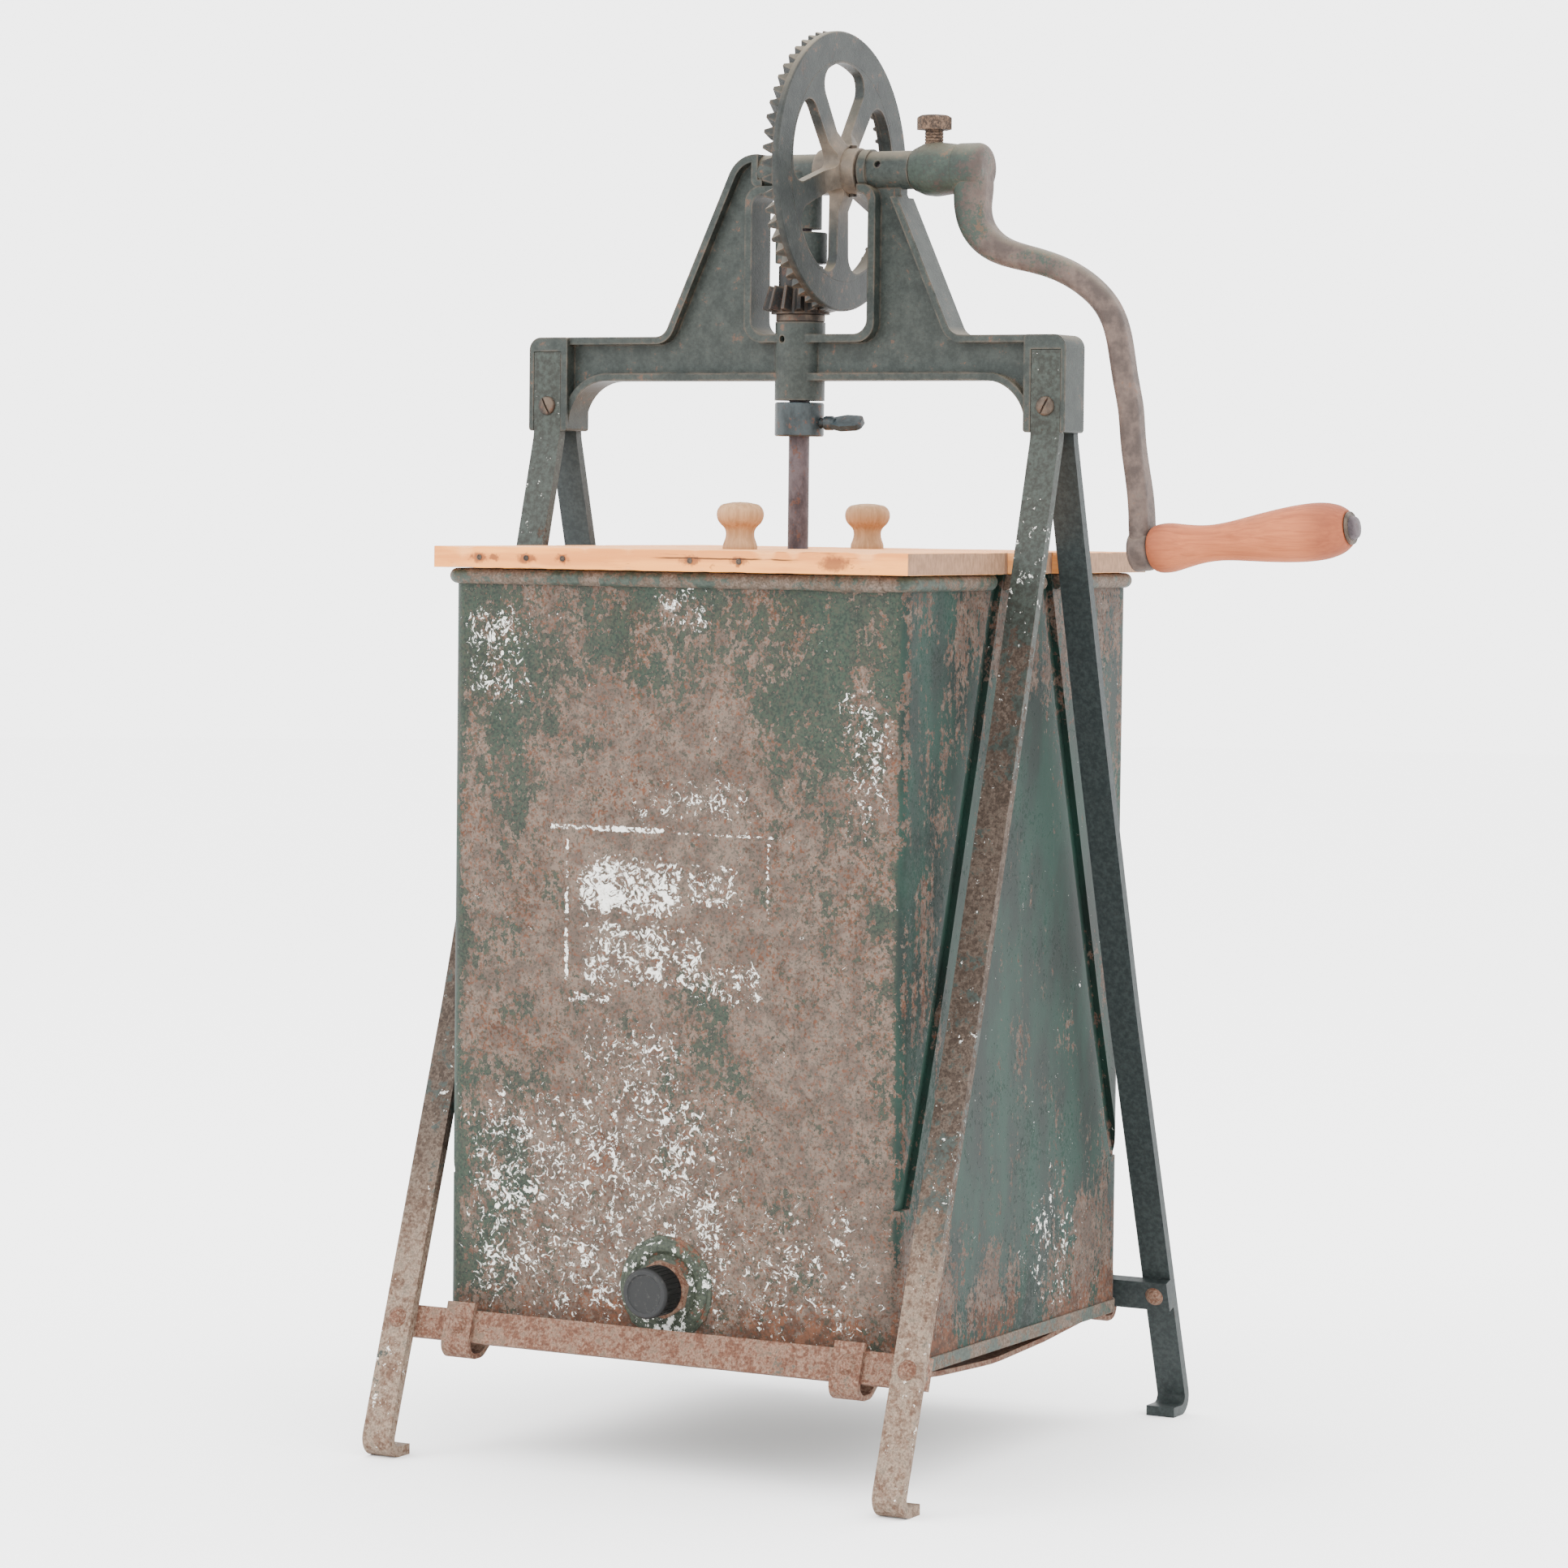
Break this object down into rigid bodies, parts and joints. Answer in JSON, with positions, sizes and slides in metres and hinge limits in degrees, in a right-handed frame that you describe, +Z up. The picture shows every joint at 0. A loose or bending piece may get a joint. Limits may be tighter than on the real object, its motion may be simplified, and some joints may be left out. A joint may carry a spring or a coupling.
{
  "type": "hand-cranked can butter churn",
  "caption": "Square sheet-metal can in a flat-bar stand, under a cast bridge whose hand crank turns a bevel wheel, pinion and vertical dasher; split board lid and capped drain.",
  "frame": {"origin": "on the floor, under the middle of the overall width and depth; the dasher axis and the middle of the can stand 91.06 mm to the left, at X = -0.09106", "axes": "+X along the front face towards the crank, +Y from the drain face to the back, +Z up"},
  "size_m": [0.5522, 0.4, 0.859],
  "materials": {
    "casting_paint": "old dark green paint over cast iron, dusty ledges",
    "wheel_iron": "dark paint, rusty teeth",
    "pinion_iron": "oily dark iron",
    "bar_front": "worn dark green paint with brown rust",
    "bar_back": "dark green paint",
    "bar_rust": "rusted flat bar",
    "rivet_rust": "rusty round heads",
    "screw_steel": "dull slotted steel screw",
    "can_paint": "green paint worn to taupe primer and rust",
    "can_metal": "worn painted sheet",
    "drain_metal": "painted pressed plate",
    "drain_rust": "rusty ring",
    "cap_plastic": "dark ribbed plastic",
    "pine": "bare pale pine, stained edge",
    "knob_wood": "turned bare wood",
    "grip_wood": "turned, hand-worn wood",
    "dasher_wood": "bare hardwood",
    "shaft_steel": "brown oxidised steel",
    "crank_iron": "green paint worn to brown iron",
    "collar_steel": "dark blue-green enamel"
  },
  "bodies": {
    "stand": {"bridge_casting": "casting_paint", "leg_front_left": "bar_front", "leg_front_right": "bar_front", "leg_back_left": "bar_back", "leg_back_right": "bar_back", "leg_rivets": "rivet_rust", "lug_screws": "screw_steel", "crossbar_front": "bar_rust", "crossbar_back": "bar_back", "strap_left": "bar_rust", "strap_right": "bar_rust", "strap_rivets": "rivet_rust", "can_body": "can_paint", "can_rim_bead": "can_metal", "can_bottom": "can_metal", "can_hem_band": "can_metal", "drain_plate": "drain_metal", "drain_neck": "drain_rust", "drain_clamp_ring": "drain_rust", "pivot_cup": "shaft_steel"},
    "cap": {"drain_cap": "cap_plastic"},
    "lid_front": {"lid_front_board": "pine", "lid_front_cleats": "pine", "lid_front_knob": "knob_wood", "lid_front_knob_screw": "screw_steel"},
    "lid_back": {"lid_back_board": "pine", "lid_back_cleats": "pine", "lid_back_knob": "knob_wood", "lid_back_knob_screw": "screw_steel"},
    "crank": {"drive_shaft": "shaft_steel", "bevel_wheel": "wheel_iron", "wheel_pin": "screw_steel", "crank_arm": "crank_iron", "crank_set_screw": "rivet_rust", "grip_spindle": "shaft_steel", "grip_washer": "screw_steel"},
    "handle": {"grip": "grip_wood"},
    "dasher": {"spindle": "shaft_steel", "upper_collar": "casting_paint", "collar_screw": "screw_steel", "pinion": "pinion_iron", "pinion_pin": "screw_steel", "thrust_washer": "screw_steel", "coupling_collar": "collar_steel", "dasher_shaft": "shaft_steel", "dasher_hubs": "shaft_steel", "dasher_hub_pins": "screw_steel", "dasher_arms": "dasher_wood", "dasher_blades": "dasher_wood", "dasher_blade_rivets": "screw_steel"},
    "thumb": {"thumb_screw": "collar_steel"}
  },
  "joints": [
    {"name": "crank_spin", "type": "hinge", "parent": "stand", "child": "crank", "pos_m": [-0.09106, 0, 0.7744], "axis": [1, 0, 0], "continuous": true},
    {"name": "dasher_spin", "type": "hinge", "parent": "stand", "child": "dasher", "pos_m": [-0.09106, 0, 0.66], "axis": [0, 0, 1], "continuous": true},
    {"name": "grip_spin", "type": "hinge", "parent": "crank", "child": "handle", "pos_m": [0.13994, 0, 0.548], "axis": [0.9936, 0, 0.1132], "continuous": true},
    {"name": "thumb_turn", "type": "hinge", "parent": "dasher", "child": "thumb", "pos_m": [-0.07106, 0, 0.6224], "axis": [1, 0, 0], "range_deg": [0, 360]},
    {"name": "drain_cap_turn", "type": "hinge", "parent": "stand", "child": "cap", "pos_m": [-0.09106, -0.17, 0.111], "axis": [0, -1, 0], "range_deg": [0, 720]},
    {"name": "lid_front_lift", "type": "slide", "parent": "stand", "child": "lid_front", "axis": [0, 0, 1], "range_m": [0, 0.055]},
    {"name": "lid_back_lift", "type": "slide", "parent": "stand", "child": "lid_back", "axis": [0, 0, 1], "range_m": [0, 0.055]}
  ],
  "couplings": [
    {"joint": "dasher_spin", "follows": "crank_spin", "ratio": 4}
  ]
}
